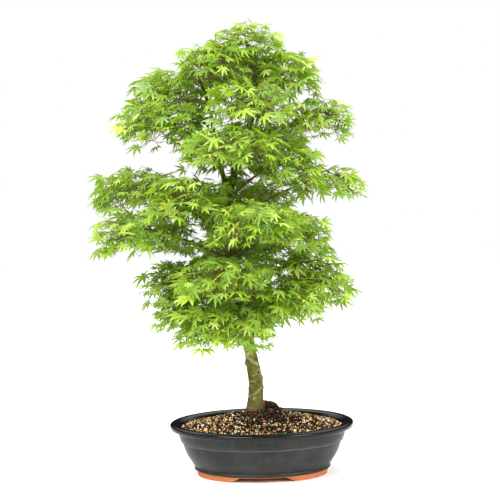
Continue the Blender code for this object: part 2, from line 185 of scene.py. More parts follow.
# Colours of the soil, with the grains' shares.
GRAIN_TINTS = (
    (0.0, (0.004, 0.0035, 0.003)), (0.36, (0.018, 0.010, 0.006)), (0.45, (0.12, 0.045, 0.014)),
    (0.52, (0.34, 0.130, 0.034)), (0.60, (0.66, 0.29, 0.080)), (0.69, (0.70, 0.44, 0.18)),
    (0.78, (0.34, 0.28, 0.17)), (0.85, (0.82, 0.62, 0.36)), (0.93, (0.98, 0.86, 0.66)),
    (0.984, (0.015, 0.36, 0.26)),
)
GRIT_DUST = (0.30, 0.17, 0.08)
GRIT_STAIN = (0.030, 0.018, 0.010)
HUMUS_BROWN = (0.016, 0.009, 0.006)
BED_DARK = (0.004, 0.003, 0.003)
BED_PALE = (0.020, 0.013, 0.008)

# Colours of the bark.
OLIVE_DARK = (0.034, 0.072, 0.005)
OLIVE_PALE = (0.145, 0.200, 0.018)
LOWER_TAN = (0.26, 0.20, 0.062)
STREAK_TAN = (0.30, 0.235, 0.080)
FRECKLE_BROWN = (0.105, 0.058, 0.020)
PORE_BROWN = (0.050, 0.038, 0.012)
SCAR_PALE = (0.52, 0.38, 0.20)
RUST_DARK = (0.045, 0.015, 0.009)
RUST_PALE = (0.22, 0.075, 0.042)
# Dark of the root and knots, also used for painted shade under the bands and in the eye scar.
DARK_BARK_AND_SHADE = (0.014, 0.007, 0.004)
TWIG_TINTS = (
    (0.0, (0.125, 0.110, 0.042)), (0.35, (0.15, 0.095, 0.036)), (0.7, (0.19, 0.095, 0.034)),
    (1.0, (0.25, 0.21, 0.050)),
)
TWIG_PATCH = (0.115, 0.105, 0.040)

# Colours of the leaves.
LEAF_TINTS = (
    (0.0, (0.052, 0.125, 0.004)), (0.3, (0.112, 0.235, 0.007)), (0.55, (0.215, 0.370, 0.013)),
    (0.8, (0.385, 0.535, 0.055)), (1.0, (0.56, 0.69, 0.150)),
)
COOL_GREEN = (0.23, 0.42, 0.15)
WILTED_YELLOW = (0.62, 0.50, 0.05)
VEIN_GREEN = (0.46, 0.64, 0.14)
GLOW_GREEN = (0.55, 0.78, 0.03)


# --- meshes ---


def new_object(name, mesh):
    item = bpy.data.objects.new(name, mesh)
    SCENE.collection.objects.link(item)
    return item


def mesh_from(bm, name):
    mesh = bpy.data.meshes.new(name)
    bm.to_mesh(mesh)
    bm.free()
    return mesh


def solid(node):
    """A CAD node's mesh."""
    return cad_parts[node].data


def joined_solid(node):
    """A copy of a CAD node's mesh with its loose triangles joined."""
    bm = bmesh.new()
    bm.from_mesh(solid(node))
    bmesh.ops.remove_doubles(bm, verts=bm.verts, dist=0.01 * MM)
    for edge in bm.edges:
        edge.smooth = True
    return mesh_from(bm, f"{node}_copy")


def settle(item):
    """Swap an object's modifiers for the plain mesh they give."""
    graph = bpy.context.evaluated_depsgraph_get()
    graph.update()
    mesh = bpy.data.meshes.new_from_object(
        item.evaluated_get(graph), preserve_all_data_layers=True, depsgraph=graph
    )
    item.modifiers.clear()
    item.data = mesh
    return item


def voxel_remesh(item, size, smoothing):
    remesh = item.modifiers.new("Voxels", "REMESH")
    remesh.mode = "VOXEL"
    remesh.voxel_size = size
    smooth = item.modifiers.new("Smooth", "SMOOTH")
    smooth.factor = 0.5
    smooth.iterations = smoothing
    return settle(item)


def read(items, name, width, kind=np.float32):
    """A property of each item, as rows of numbers."""
    rows = np.zeros(len(items) * width, kind)
    items.foreach_get(name, rows)
    return rows.reshape(-1, width)


def vertex_array(mesh, vector="co"):
    """Each vertex's place, or its normal, as a row."""
    return read(mesh.vertices, vector, 3).astype(float)


def move_vertices(mesh, spots):
    mesh.vertices.foreach_set("co", spots.astype(np.float32).ravel())
    mesh.update()


def noise_at(spots, *layers):
    """Smooth noise at each spot, summed over layers of waves per metre, seed and strength."""
    total = 0.0
    for waves, seed, strength in layers:
        shift = Vector((seed * 3.17, seed * 1.31, seed * 2.71))
        total = total + strength * np.array([noise.noise(Vector(spot) * waves + shift) for spot in spots])
    return total


def ramp(values, start, end):
    """0 up to the start, 1 from the end on, and a straight climb between."""
    return np.clip((values - start) / (end - start), 0, 1)


def hump(values):
    return np.exp(-(values**2))


def store(mesh, name, values, kind="FLOAT"):
    layer = mesh.attributes.new(name, kind, "POINT")
    layer.data.foreach_set("value", np.asarray(values).ravel())


def surface_of(mesh):
    bm = bmesh.new()
    bm.from_mesh(mesh)
    tree = BVHTree.FromBMesh(bm)
    bm.free()
    return tree


def add_tiles(mesh, source, margin):
    """Lay each instance's own map out in its own tile of one map for the whole piece."""
    local = np.clip(read(mesh.uv_layers[source].uv, "vector", 2), 0.0, 1.0)
    vertex = read(mesh.loops, "vertex_index", 1, np.int32)[:, 0]
    tile = read(mesh.attributes["tile"].data, "value", 1, np.int32)[vertex, 0]
    side = math.ceil(math.sqrt(tile.max() + 1))
    corner = np.stack((tile % side, tile // side), axis=1)
    spread = (corner + margin + local * (1 - 2 * margin)) / side
    layer = mesh.uv_layers.new(name="OFBake")
    layer.uv.foreach_set("vector", spread.astype(np.float32).ravel())


def form_collection(name, meshes):
    """Forms for a tree to place, kept out of the picture."""
    collection = bpy.data.collections.new(name)
    SCENE.collection.children.link(collection)
    for number, mesh in enumerate(meshes):
        form = bpy.data.objects.new(f"{name}_{number}", mesh)
        collection.objects.link(form)
        form.hide_render = True
        form.hide_viewport = True
    return collection


def make_piece(item, material, slot, *nodes):
    """Give a finished object its finish and its place on the frame."""
    if material is not None:
        item.data.materials.clear()
        item.data.materials.append(material)
    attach(item, "root")
    if nodes:
        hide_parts(*nodes)


# --- nodes ---


def feed(tree, node, inputs):
    """Join a node's inputs to other nodes' sockets, or set them to values."""
    for key, value in inputs.items():
        if isinstance(value, bpy.types.NodeSocket):
            tree.links.new(value, node.inputs[key])
        else:
            node.inputs[key].default_value = value


def add_node(tree, kind, inputs=None, **settings):
    node = tree.nodes.new(kind)
    for key, value in settings.items():
        setattr(node, key, value)
    feed(tree, node, inputs or {})
    return node


def new_group(name, inputs, outputs, kind="ShaderNodeTree"):
    """An empty node group with named sockets of given kinds: the group, what it gets, and its last node."""
    group = bpy.data.node_groups.new(name, kind)
    for way, sockets in (("INPUT", inputs), ("OUTPUT", outputs)):
        for label, value in sockets.items():
            group.interface.new_socket(label, in_out=way, socket_type=f"NodeSocket{value}")
    return group, add_node(group, "NodeGroupInput").outputs, add_node(group, "NodeGroupOutput")


def maths(tree, operation, first, second=0.0, clamp=False):
    inputs = {0: first, 1: second}
    return add_node(tree, "ShaderNodeMath", inputs, operation=operation, use_clamp=clamp).outputs[0]


def vector_maths(tree, operation, first, second=(0.0, 0.0, 0.0)):
    node = add_node(tree, "ShaderNodeVectorMath", {0: first, 1: second}, operation=operation)
    return node.outputs["Value" if operation in ("DISTANCE", "DOT_PRODUCT", "LENGTH") else "Vector"]


def separated(tree, vector):
    return add_node(tree, "ShaderNodeSeparateXYZ", {0: vector}).outputs


def mapped(tree, value, low, high, to_low=0.0, to_high=1.0):
    inputs = {"Value": value, "From Min": low, "From Max": high, "To Min": to_low, "To Max": to_high}
    return add_node(tree, "ShaderNodeMapRange", inputs, interpolation_type="SMOOTHSTEP").outputs[0]


def noise_cloud(tree, place, scale, detail, roughness=0.5):
    inputs = {"Vector": place, "Scale": scale, "Detail": detail, "Roughness": roughness}
    return add_node(tree, "ShaderNodeTexNoise", inputs).outputs["Fac"]


# --- effects that finishes share ---


def make_mottling():
    """Soft patches: a mask from a stretched noise."""
    inputs = {"Place": "Vector", "Scale": "Float", "Stretch": "Vector", "Low": "Float", "High": "Float"}
    group, given, end = new_group("Mottling", inputs, {"Mask": "Float"})
    place = vector_maths(group, "MULTIPLY", given["Place"], given["Stretch"])
    cloud = noise_cloud(group, place, given["Scale"], 5.0, 0.6)
    feed(group, end, {"Mask": mapped(group, cloud, given["Low"], given["High"])})
    return group


def make_grain():
    """Fine pitted grain as a height from 0 to 1."""
    inputs = {"Place": "Vector", "Scale": "Float"}
    group, given, end = new_group("Fine Grain", inputs, {"Height": "Float"})
    cloud = noise_cloud(group, given["Place"], given["Scale"], 3.0)
    inputs = {"Vector": given["Place"], "Scale": given["Scale"]}
    cells = add_node(group, "ShaderNodeTexVoronoi", inputs).outputs["Distance"]
    soft = maths(group, "MULTIPLY", cloud, 0.6)
    pitted = maths(group, "MULTIPLY", cells, 0.4)
    feed(group, end, {"Height": maths(group, "ADD", soft, pitted)})
    return group


def make_height_band():
    """A mask that turns on between two heights, along a slightly ragged line."""
    inputs = {"Place": "Vector", "From": "Float", "To": "Float", "Raggedness": "Float", "Waves": "Float"}
    group, given, end = new_group("Height Band", inputs, {"Mask": "Float"})
    cloud = noise_cloud(group, given["Place"], given["Waves"], 2.0)
    shift = maths(group, "MULTIPLY", maths(group, "SUBTRACT", cloud, 0.5), given["Raggedness"])
    line = maths(group, "ADD", separated(group, given["Place"])["Z"], shift)
    feed(group, end, {"Mask": mapped(group, line, given["From"], given["To"])})
    return group


MOTTLING = make_mottling()
GRAIN = make_grain()
HEIGHT_BAND = make_height_band()


class Finish:
    """A material under way, patterned by place on the object, with short forms for its mixing."""

    def __init__(self, name):
        self.material = bpy.data.materials.new(name)
        self.material.use_nodes = True
        self.tree = self.material.node_tree
        self.shader = self.tree.nodes["Principled BSDF"]
        self.place = add_node(self.tree, "ShaderNodeTexCoord").outputs["Object"]

    def effect(self, group, output, **inputs):
        inputs["Place"] = self.place
        return add_node(self.tree, "ShaderNodeGroup", inputs, node_tree=group).outputs[output]

    def mottle(self, scale, low, high, squash=1.0):
        """Patches of noise, flatter with more squash and taller with less."""
        return self.effect(MOTTLING, "Mask", Scale=scale, Low=low, High=high, Stretch=(1.0, 1.0, squash))

    def grain(self, scale):
        return self.effect(GRAIN, "Height", Scale=scale)

    def above(self, low, high, ragged=0.5, waves=60.0):
        """A mask that turns on between two heights in mm."""
        inputs = {"From": low * MM, "To": high * MM, "Raggedness": ragged * MM, "Waves": waves}
        return self.effect(HEIGHT_BAND, "Mask", **inputs)

    def attribute(self, name):
        return add_node(self.tree, "ShaderNodeAttribute", attribute_name=name).outputs["Fac"]

    def added(self, first, second, clamp=False):
        return maths(self.tree, "ADD", first, second, clamp)

    def times(self, value, amount):
        return maths(self.tree, "MULTIPLY", value, amount)

    def less(self, value, amount):
        return maths(self.tree, "SUBTRACT", value, amount)

    def ranged(self, mask, low, high):
        """The mask's 0 to 1, spread from low to high."""
        return mapped(self.tree, mask, 0.0, 1.0, low, high)

    def ramped(self, factor, stops, interpolation="LINEAR"):
        node = add_node(self.tree, "ShaderNodeValToRGB", {0: factor})
        node.color_ramp.interpolation = interpolation
        elements = node.color_ramp.elements
        while len(elements) < len(stops):
            elements.new(1.0)
        for element, (position, color) in zip(elements, stops):
            element.position = position
            element.color = (*color, 1.0)
        return node.outputs[0]

    def mixed(self, factor, *colors):
        inputs = {0: factor}
        for key, color in zip((6, 7), colors):
            inputs[key] = color if isinstance(color, bpy.types.NodeSocket) else (*color, 1.0)
        return add_node(self.tree, "ShaderNodeMix", inputs, data_type="RGBA").outputs[2]

    def over(self, base, mask, strength, color):
        """The base with a colour laid over it where the mask is."""
        return self.mixed(self.times(mask, strength), base, color)

    def bumped(self, height, distance, strength, under=None):
        """A normal from a height, with its distance in mm, on top of another normal if there is one."""
        inputs = {"Height": height, "Distance": distance * MM, "Strength": strength}
        if under is not None:
            inputs["Normal"] = under
        return add_node(self.tree, "ShaderNodeBump", inputs).outputs[0]

    def done(self, inputs):
        feed(self.tree, self.shader, inputs)
        return self.material


# --- pot ---


def depth_ratio(radius):
    share = (radius - RATIO_FROM) / (RATIO_TO - RATIO_FROM)
    return FOOT_RATIO + (RIM_RATIO - FOOT_RATIO) * min(max(share, 0.0), 1.0)


def smoothed(knots, steps):
    """Points on a smooth line through a run of knots."""
    ends = [knots[0], *knots, knots[-1]]
    line = []
    for before, start, end, after in zip(ends, ends[1:], ends[2:], ends[3:]):
        for step in range(steps):
            t = step / steps
            weights = (-t + 2 * t**2 - t**3, 2 - 5 * t**2 + 3 * t**3, t + 4 * t**2 - 3 * t**3, t**3 - t**2)
            line.append(tuple(
                0.5 * sum(weight * value for weight, value in zip(weights, values))
                for values in zip(before, start, end, after)
            ))
    line.append(tuple(knots[-1]))
    return line


def pot_section():
    curved = smoothed((*POT_INSIDE[2:], *POT_LIP, *POT_BODY), 3)
    return [*POT_INSIDE[:2], *curved, *smoothed(POT_FOOT, 2), *POT_UNDERSIDE]


def foot_notch():
    """The bar that opens the foot ring at the front and the back, with sloping ends."""
    outline = [(-x, z) for x, z in NOTCH_HALF] + [(x, z) for x, z in reversed(NOTCH_HALF)]
    bm = bmesh.new()
    front, back = (
        [bm.verts.new(POT_CENTRE + Vector((x * MM, y, z * MM))) for x, z in outline]
        for y in (-NOTCH_REACH, NOTCH_REACH)
    )
    bm.faces.new(front)
    bm.faces.new(back)
    for corners in zip(front, front[1:] + front[:1], back[1:] + back[:1], back):
        bm.faces.new(corners)
    bmesh.ops.recalc_face_normals(bm, faces=bm.faces)
    return new_object("notch_bar", mesh_from(bm, "notch_bar"))


def drain_bar(side):
    bm = bmesh.new()
    bmesh.ops.create_cone(
        bm, cap_ends=True, segments=40, depth=DRAIN_BAR_LENGTH,
        radius1=DRAIN_HOLE_RADIUS, radius2=DRAIN_HOLE_RADIUS,
    )
    middle = POT_CENTRE + Vector((side * DRAIN_HOLE_X, 0, DRAIN_BAR_LENGTH / 2))
    bmesh.ops.translate(bm, verts=bm.verts, vec=middle)
    return new_object(f"drain_bar_{side}", mesh_from(bm, "drain_bar"))


def glazed_clay():
    """Slate glaze with a black lip, a pale line along the ledge and painted shade along its lower edge,
    over bare clay at the foot.
    """
    mix = Finish("slate_glaze")
    glazed = mix.above(10.2, 11.0, 1.6, 45.0)
    lip = mix.above(87.4, 88.8, 0.6)
    ledge = mix.times(mix.above(66.0, 67.2), mix.less(1.0, mix.above(67.6, 69.2)))
    shaded_lower_edge = mix.less(1.0, mix.above(13.0, 17.0, 1.5))
    clouds = mix.mottle(14.0, 0.3, 0.7, 1.8)
    slate = mix.mixed(clouds, SLATE_DARK, SLATE_PALE)
    slate = mix.over(slate, mix.mottle(60.0, 0.40, 0.70, 0.35), 0.45, SLATE_STREAK)
    slate = mix.over(slate, mix.mottle(420.0, 0.56, 0.70), 0.4, SLATE_SPECK)
    slate = mix.over(slate, ledge, 0.55, LEDGE_LINE)
    # Painted shade: the slate darkens along the glaze's lower edge.
    slate = mix.over(slate, shaded_lower_edge, 0.6, FOOT_SHADE)
    glaze = mix.mixed(lip, slate, LIP_BLACK)
    clay = mix.mixed(mix.mottle(40.0, 0.3, 0.75), CLAY_DARK, CLAY_PALE)
    clay = mix.over(clay, mix.mottle(300.0, 0.55, 0.7), 0.35, CLAY_SPECK)
    glaze_roughness = mix.added(mix.ranged(clouds, 0.30, 0.40), mix.times(lip, -0.30))
    clay_roughness = mix.times(mix.less(1.0, glazed), 0.85)
    ripple = mix.bumped(mix.mottle(55.0, 0.0, 1.0), 0.5, 0.25)
    fine = mix.times(mix.grain(900.0), mix.less(1.15, glazed))
    return mix.done({
        "Base Color": mix.mixed(glazed, clay, glaze),
        "Roughness": mix.added(mix.times(glaze_roughness, glazed), clay_roughness),
        "Coat Weight": mix.times(lip, 0.12),
        "Coat Roughness": 0.04,
        "Specular IOR Level": 0.17,
        "Normal": mix.bumped(fine, 0.3, 0.5, ripple),
    })


def make_pot():
    bm = bmesh.new()
    points = [bm.verts.new((radius * MM, 0.0, height * MM)) for radius, height in pot_section()]
    edges = [bm.edges.new(pair) for pair in zip(points, points[1:])]
    bmesh.ops.spin(
        bm, geom=points + edges, axis=(0, 0, 1), cent=(0, 0, 0),
        angle=math.tau, steps=POT_TURNS, use_merge=True,
    )
    bmesh.ops.remove_doubles(bm, verts=bm.verts, dist=0.01 * MM)
    for vert in bm.verts:
        vert.co.y *= depth_ratio(vert.co.xy.length)
        vert.co += POT_CENTRE
    bmesh.ops.recalc_face_normals(bm, faces=bm.faces)
    pot = new_object("glazed_pot", mesh_from(bm, "glazed_pot"))
    bars = [foot_notch(), drain_bar(-1), drain_bar(1)]
    for bar in bars:
        cut = pot.modifiers.new(bar.name, "BOOLEAN")
        cut.operation = "DIFFERENCE"
        cut.solver = "EXACT"
        cut.object = bar
    settle(pot)
    for bar in bars:
        bpy.data.objects.remove(bar, do_unlink=True)
    pot.data.shade_smooth()
    pot.data.set_sharp_from_angle(angle=POT_SHARP_ANGLE)
    make_piece(pot, glazed_clay(), "pot_glaze", "pot")


# --- growing with Geometry Nodes ---


def grown(group, kind, inputs=None, **settings):
    """What a new Geometry Nodes node gives first."""
    return add_node(group, f"GeometryNode{kind}", inputs, **settings).outputs[0]


def named(group, name, kind):
    """A value stored on the points."""
    return grown(group, "InputNamedAttribute", {"Name": name}, data_type=kind)


def stored(group, points, name, value, kind):
    inputs = {"Geometry": points, "Name": name, "Value": value}
    return grown(group, "StoreNamedAttribute", inputs, data_type=kind, domain="POINT")


def painted(group, geometry, material):
    return grown(group, "SetMaterial", {"Geometry": geometry, "Material": material})


def placed_forms(group, points, forms, pick, turn, size, material):
    """One of a collection's forms on each point, as plain painted mesh."""
    inputs = {"Collection": forms, "Separate Children": True, "Reset Children": True}
    inputs = {
        "Points": points, "Instance": grown(group, "CollectionInfo", inputs), "Pick Instance": True,
        "Instance Index": pick, "Rotation": turn, "Scale": size,
    }
    placed = grown(group, "InstanceOnPoints", inputs)
    return painted(group, grown(group, "RealizeInstances", {"Geometry": placed}), material)


def grow(item, group, values):
    """Run a tree on an object, with its inputs given by name, and keep the plain mesh."""
    modifier = item.modifiers.new(group.name, "NODES")
    modifier.node_group = group
    for socket in group.interface.items_tree:
        if socket.item_type == "SOCKET" and socket.in_out == "INPUT" and socket.name in values:
            modifier[socket.identifier] = values[socket.name]
    return settle(item)


# --- soil ---


def stone_form(rng):
    """An angular stone about one unit across."""
    bm = bmesh.new()
    bmesh.ops.create_icosphere(bm, subdivisions=1, radius=0.5)
    squeeze = Vector((1.0, rng.uniform(0.55, 0.9), rng.uniform(0.45, 0.8)))
    for vert in bm.verts:
        vert.co *= rng.uniform(0.78, 1.15)
        vert.co = vert.co * squeeze
    layer = bm.loops.layers.uv.new("grain")
    for face in bm.faces:
        for loop in face.loops:
            loop[layer].uv = (loop.vert.co.x + 0.5, loop.vert.co.y + 0.5)
    bmesh.ops.recalc_face_normals(bm, faces=bm.faces)
    return mesh_from(bm, "stone")


def grit_tree():
    """Stones scattered over a surface."""
    inputs = {
        "Surface": "Geometry", "Stones": "Collection", "Spacing": "Float", "Density": "Float",
        "Smallest": "Float", "Largest": "Float", "Seed": "Int", "Material": "Material",
    }
    group, given, end = new_group("Scatter Grit", inputs, {"Grit": "Geometry"}, "GeometryNodeTree")

    def luck(step, kind, limits=None):
        """A random value for each point; each step gives other values."""
        inputs = {**(limits or {}), "Seed": maths(group, "ADD", given["Seed"], float(step))}
        outputs = add_node(group, "FunctionNodeRandomValue", inputs, data_type=kind).outputs
        return outputs[("FLOAT_VECTOR", "FLOAT", "INT").index(kind)]

    inputs = {
        "Mesh": given["Surface"], "Distance Min": given["Spacing"],
        "Density Max": given["Density"], "Seed": given["Seed"],
    }
    points = grown(group, "DistributePointsOnFaces", inputs, distribute_method="POISSON")
    points = stored(group, points, "tone", luck(11, "FLOAT"), "FLOAT")
    points = stored(group, points, "tile", grown(group, "InputIndex"), "INT")
    turn = luck(23, "FLOAT_VECTOR", {"Max": (math.tau, math.tau, math.tau)})
    share = maths(group, "POWER", luck(37, "FLOAT"), SMALL_STONES)
    spread = maths(group, "SUBTRACT", given["Largest"], given["Smallest"])
    size = maths(group, "ADD", given["Smallest"], maths(group, "MULTIPLY", share, spread))
    pick = luck(51, "INT", {4: 0, 5: STONE_FORMS - 1})
    grit = placed_forms(group, points, given["Stones"], pick, turn, size, given["Material"])
    feed(group, end, {"Grit": grit})
    return group


def humus_middle():
    """The middle of the dark humus: right of the trunk's foot and a little to the front."""
    spots = vertex_array(solid("trunk"))
    foot = spots[(spots[:, 2] > 0.125) & (spots[:, 2] < 0.16)].mean(0) * (1, 1, 0)
    away = RIGHT * HUMUS_OFFSET[0] + FRONT * HUMUS_OFFSET[1] + Vector((0, 0, HUMUS_HEIGHT))
    return tuple(foot + np.array(away))


def grit_finish():
    """Sandy, brown, grey and a few green grains, dusty and stained, and dark humus near the trunk."""
    mix = Finish("soil_grit")
    dust = mix.mottle(500.0, 0.35, 0.75)
    tint = mix.ramped(mix.attribute("tone"), GRAIN_TINTS, "CONSTANT")
    tint = mix.over(tint, dust, 0.10, GRIT_DUST)
    tint = mix.over(tint, mix.mottle(70.0, 0.45, 0.75), 0.45, GRIT_STAIN)
    away = vector_maths(mix.tree, "DISTANCE", mix.place, humus_middle())
    humus = mix.times(mapped(mix.tree, away, 0.085, 0.020), mix.mottle(130.0, 0.34, 0.54))
    return mix.done({
        "Base Color": mix.over(tint, humus, 0.88, HUMUS_BROWN),
        "Roughness": mix.ranged(dust, 0.6, 0.9),
        "Specular IOR Level": 0.15,
        "Normal": mix.bumped(mix.grain(1500.0), 0.4, 0.6),
    })


def bed_finish():
    mix = Finish("soil_bed")
    return mix.done({
        "Base Color": mix.mixed(mix.mottle(260.0, 0.35, 0.7), BED_DARK, BED_PALE),
        "Roughness": 0.95,
        "Specular IOR Level": 0.05,
        "Normal": mix.bumped(mix.grain(700.0), 1.2, 0.8),
    })


def make_soil():
    bed = voxel_remesh(new_object("soil_bed", joined_solid("soil")), BED_VOXEL, 2)
    spots = vertex_array(bed.data)
    normals = vertex_array(bed.data, "normal")
    top = (normals[:, 2] > 0.5) & (spots[:, 2] > GRIT_TOP_FROM)
    away = norm((spots[top] - humus_middle())[:, :2], axis=1)
    rise = noise_at(spots[top], *SOIL_WAVES) - 0.8 + MOUND_RISE * hump(away / MOUND_REACH)
    spots[top, 2] += rise * MM
    move_vertices(bed.data, spots)
    bed.data.shade_smooth()

    bm = bmesh.new()
    bm.from_mesh(bed.data)
    low = [face for face in bm.faces if face.normal.z < 0.4 or face.calc_center_median().z < GRIT_TOP_FROM]
    bmesh.ops.delete(bm, geom=low, context="FACES")
    grit = new_object("soil_grit", mesh_from(bm, "grit_surface"))
    make_piece(bed, bed_finish(), "soil_mix", "soil")
    rng = np.random.default_rng(21)
    stones = form_collection("stone", [stone_form(rng) for _ in range(STONE_FORMS)])
    grow(grit, grit_tree(), {
        "Stones": stones, "Spacing": GRIT_SPACING, "Density": GRIT_DENSITY,
        "Smallest": GRIT_SIZES[0], "Largest": GRIT_SIZES[1], "Seed": 4, "Material": grit_finish(),
    })
    add_tiles(grit.data, "grain", 0.06)
    make_piece(grit, None, "soil_mix")


# --- trunk ---


def bark_finish():
    """Olive bark with tan streaks, freckles and pores, pale scars, rust at the foot and higher up, a dark
    root and knots, and painted shade under the bands and in the eye scar.
    """
    mix = Finish("trunk_bark")
    patches = mix.mottle(70.0, 0.38, 0.62, 0.7)
    streaks = mix.mottle(260.0, 0.42, 0.68, 0.3)
    freckles = mix.mottle(330.0, 0.48, 0.60, 1.5)
    ragged = mix.mottle(230.0, 0.30, 0.62)
    rust = mix.mixed(ragged, RUST_DARK, RUST_PALE)
    bark = mix.mixed(patches, OLIVE_DARK, OLIVE_PALE)
    bark = mix.over(bark, mix.less(1.0, mix.above(150, 200, 8.0)), 0.28, LOWER_TAN)
    bark = mix.over(bark, streaks, 0.42, STREAK_TAN)
    bark = mix.over(bark, freckles, 0.60, FRECKLE_BROWN)
    bark = mix.over(bark, mix.mottle(700.0, 0.52, 0.64, 1.6), 0.6, PORE_BROWN)
    bark = mix.over(bark, mix.attribute("pale"), mix.ranged(ragged, 0.35, 1.0), SCAR_PALE)
    bark = mix.over(bark, mix.attribute("rust"), mix.ranged(streaks, 0.7, 1.0), rust)
    height = mix.added(mix.times(freckles, 0.8), mix.grain(900.0))
    return mix.done({
        # The dark layer is partly the root's and knots' own colour and partly painted shade.
        "Base Color": mix.mixed(mix.attribute("dark"), bark, DARK_BARK_AND_SHADE),
        "Roughness": mix.ranged(patches, 0.6, 0.8),
        "Specular IOR Level": 0.16,
        "Normal": mix.bumped(height, 0.6, 0.8),
    })


def trunk_axis(heights):
    """The trunk's centre at each height, from a smooth line through its bare lower part."""
    spots = vertex_array(solid("trunk"))
    bare = spots[(spots[:, 2] > 0.148) & (spots[:, 2] < 0.34)]
    return polyval(np.clip(heights, 0.15, 0.34), polyfit(bare[:, 2], bare[:, :2], 3)).T


def bark_marks(heights, degrees, wobble):
    """Knots, scars and bands of the bare trunk: push outwards in mm, how pale, and how dark, with painted
    shade under the bands and in the eye scar's hollow.
    """
    push = np.zeros(len(heights))
    pale = np.zeros(len(heights))
    dark = np.zeros(len(heights))

    def around(height, angle):
        """Distance in mm, over the bark, from a mark's centre."""
        turn = (degrees - angle + 180) % 360 - 180
        return np.hypot(heights - height, np.radians(turn) * BARK_RADIUS)

    for height, angle, size, rise in KNOTS:
        share = hump(around(height, angle) / size)
        push += share * rise
        pale = np.maximum(pale, share * 0.5)
        dark = np.maximum(dark, share**2 * 0.55)
    height, angle, size, width = EYE_SCAR
    reach = around(height, angle)
    ring = hump((reach - size * 0.8) / (width * 0.45))
    hollow = hump(reach / (size * 0.5))
    push += ring * 0.9 - hollow
    pale = np.maximum(pale, ring * 0.55)
    # Painted shade: the eye scar's hollow is darkened.
    dark = np.maximum(dark, hollow * 0.75)
    for height, rise, width, first, last in PALE_BANDS:
        line = height + rise * np.clip(degrees, first, last) / 80.0 + wobble * 3.4
        inside = hump((heights - line) / (width * 0.55)) * (degrees > first - 8) * (degrees < last + 8)
        pale = np.maximum(pale, inside * 0.9)
        push += inside * 0.25
        # Painted shade: a dark line just under each raised band.
        under = hump((heights - line + width * 0.75) / 1.1) * (degrees > first) * (degrees < last)
        dark = np.maximum(dark, under * 0.55)
    for height, angle, size in PALE_PATCHES:
        pale = np.maximum(pale, hump(around(height, angle) / size))
    bare = (heights > BARE_TRUNK[0]) & (heights < BARE_TRUNK[1])
    return push * bare, pale * bare, dark * bare


def foot_marks(heights, degrees, wobble):
    """How rusty the bark is, at the foot and again higher up, and how pale the foot's left side is."""
    base = ramp(heights, 184, 152)
    right_side = ramp(degrees - np.clip(heights - 125, 0, None), 20, 50)
    rust = np.maximum(base * right_side, np.minimum(ramp(heights, 130, 118), 0.85))
    rust = np.clip(rust + wobble * 0.3 * (base > 0), 0, 1)
    foot = ramp(heights, 136, 122) * ramp(degrees, 20, -20)
    rust = np.maximum(rust, foot * np.clip(0.40 + wobble * 1.5, 0, 0.8))
    rust = np.maximum(rust, ramp(heights, 300, 560) * np.clip(0.45 + wobble * 0.6, 0, 1))
    return rust, foot * np.clip(0.45 + wobble, 0, 1)


def make_trunk():
    trunk = voxel_remesh(new_object("maple_trunk", joined_solid("trunk")), TRUNK_VOXEL, 5)
    mesh = trunk.data
    spots = vertex_array(mesh)
    heights = spots[:, 2] / MM
    side = spots[:, :2] - trunk_axis(spots[:, 2])
    degrees = np.degrees(np.arctan2(side @ np.array(RIGHT.xy), side @ np.array(FRONT.xy)))
    wobble = noise_at(spots, (160.0, 5, 1.0))
    push, pale, dark = bark_marks(heights, degrees, wobble)
    rust, foot_pale = foot_marks(heights, degrees, wobble)
    # The root that lifts out of the soil on the right is lumpy and dark.
    away = np.hypot(side[:, 0], side[:, 1]) / MM
    root = ramp(away, 15.5, 18.5) * (heights < 145) * ramp(degrees, 15, 35)
    root_dark = root * np.clip(0.92 + noise_at(spots, (300.0, 10, 0.7)), 0.55, 1)
    push += noise_at(spots, *BARK_WAVES) + root * (noise_at(spots, *ROOT_WAVES) - 1.0)
    push *= np.clip((900 - heights) / 300, 0.35, 1.0)
    move_vertices(mesh, spots + vertex_array(mesh, "normal") * (push * MM)[:, None])
    store(mesh, "pale", np.clip(np.maximum(pale, foot_pale), 0, 1) * (1 - root))
    store(mesh, "rust", np.maximum(rust, root))
    # The dark layer holds the root's and knots' own dark colour and painted shade under the bands and in
    # the eye scar.
    store(mesh, "dark", np.maximum(root_dark, dark))
    mesh.shade_smooth()
    make_piece(trunk, bark_finish(), "trunk_bark", "trunk")


# --- leaves ---


